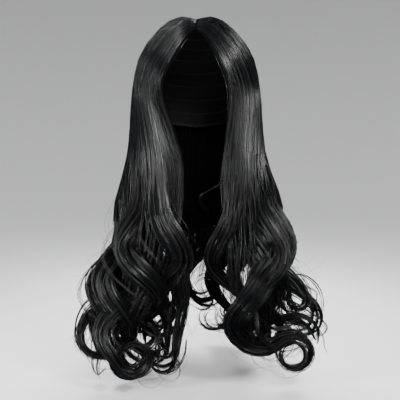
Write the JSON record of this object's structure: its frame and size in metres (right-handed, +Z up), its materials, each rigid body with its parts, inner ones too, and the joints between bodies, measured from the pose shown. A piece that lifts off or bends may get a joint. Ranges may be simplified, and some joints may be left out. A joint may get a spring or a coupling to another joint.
{
  "type": "long wavy wig",
  "caption": "Long dark wig in its worn form: a hollow cap with hair combed smooth from a centre part, falling in wavy locks that end in open curls.",
  "frame": {"origin": "inside top of the cap, where the crown of the head sits", "axes": "+Z up, -Y the way the wearer faces, +X to the right as seen from the front"},
  "size_m": [0.3321, 0.3003, 0.4882],
  "materials": {
    "cap_net": "dark elastic net",
    "hair": "glossy near black synthetic fibre"
  },
  "bodies": {
    "root": {"cap": "cap_net", "front_hair_left": "hair", "front_hair_right": "hair", "side_hair_left": "hair", "side_hair_right": "hair", "back_hair": "hair"}
  },
  "joints": []
}
